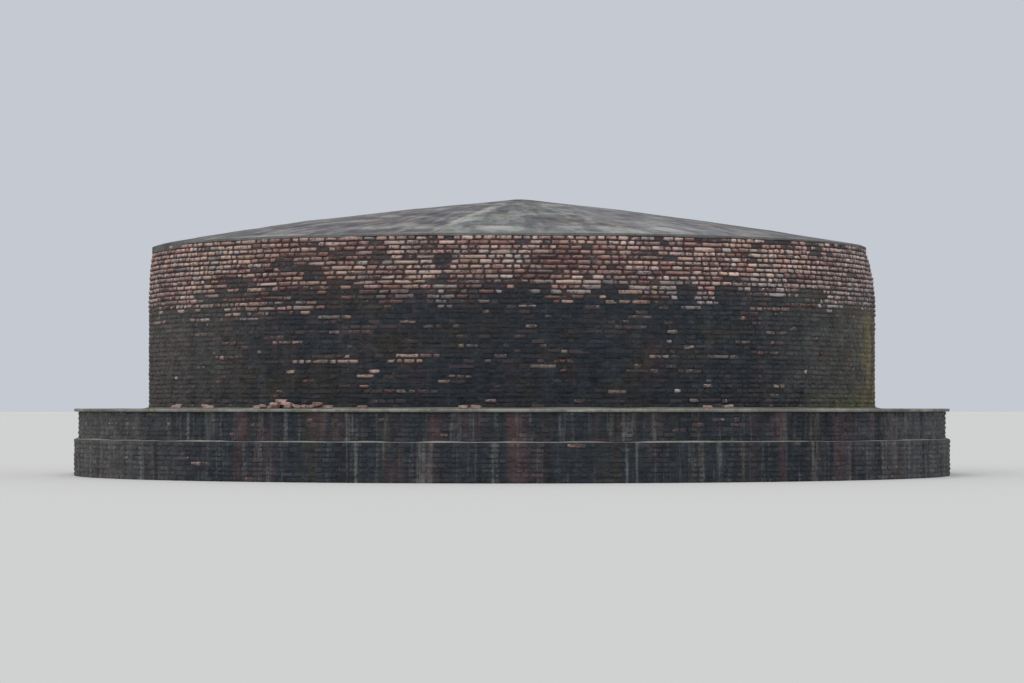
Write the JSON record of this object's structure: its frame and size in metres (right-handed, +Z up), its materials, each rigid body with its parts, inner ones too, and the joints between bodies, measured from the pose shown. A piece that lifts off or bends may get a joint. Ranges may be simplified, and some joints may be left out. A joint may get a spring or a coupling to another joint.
{
  "type": "brick stupa",
  "caption": "Round brick stupa in ruin: a stepped circular platform, a broad solid drum with soot-dark lower courses and reddish upper courses, and a low cement cap.",
  "frame": {"origin": "on the ground at the centre of the round platform", "axes": "+Z up along the stupa's axis; the side shown in the picture faces -Y, with its right towards +X"},
  "size_m": [16.1, 16.1, 5.092],
  "materials": {
    "old_brick": "old clay brick under a black algae crust, matt",
    "rebuilt_brick": "weathered reddish clay brick with open dark joints, matt",
    "lime_concrete": "weathered pale lime concrete with lichen, matt",
    "cap_cement": "weathered grey cement with pale and green patches, matt",
    "core_rubble": "brick rubble and earth, rough"
  },
  "bodies": {
    "root": {"plinth_wall_front": "old_brick", "plinth_wall_front_right": "old_brick", "plinth_wall_back_right": "old_brick", "plinth_wall_back": "old_brick", "plinth_wall_back_left": "old_brick", "plinth_wall_front_left": "old_brick", "platform_wall_front": "old_brick", "platform_wall_front_right": "old_brick", "platform_wall_back_right": "old_brick", "platform_wall_back": "old_brick", "platform_wall_back_left": "old_brick", "platform_wall_front_left": "old_brick", "terrace_slab_front": "lime_concrete", "terrace_slab_front_right": "lime_concrete", "terrace_slab_back_right": "lime_concrete", "terrace_slab_back": "lime_concrete", "terrace_slab_back_left": "lime_concrete", "terrace_slab_front_left": "lime_concrete", "drum_old_wall_front": "old_brick", "drum_old_wall_front_right": "old_brick", "drum_old_wall_back_right": "old_brick", "drum_old_wall_back": "old_brick", "drum_old_wall_back_left": "old_brick", "drum_old_wall_front_left": "old_brick", "drum_rebuilt_wall_front": "rebuilt_brick", "drum_rebuilt_wall_front_right": "rebuilt_brick", "drum_rebuilt_wall_back_right": "rebuilt_brick", "drum_rebuilt_wall_back": "rebuilt_brick", "drum_rebuilt_wall_back_left": "rebuilt_brick", "drum_rebuilt_wall_front_left": "rebuilt_brick", "cap_bay_front": "cap_cement", "cap_bay_front_right": "cap_cement", "cap_bay_back_right": "cap_cement", "cap_bay_back": "cap_cement", "cap_bay_back_left": "cap_cement", "cap_bay_front_left": "cap_cement", "platform_core": "core_rubble", "drum_core": "core_rubble"}
  },
  "joints": []
}
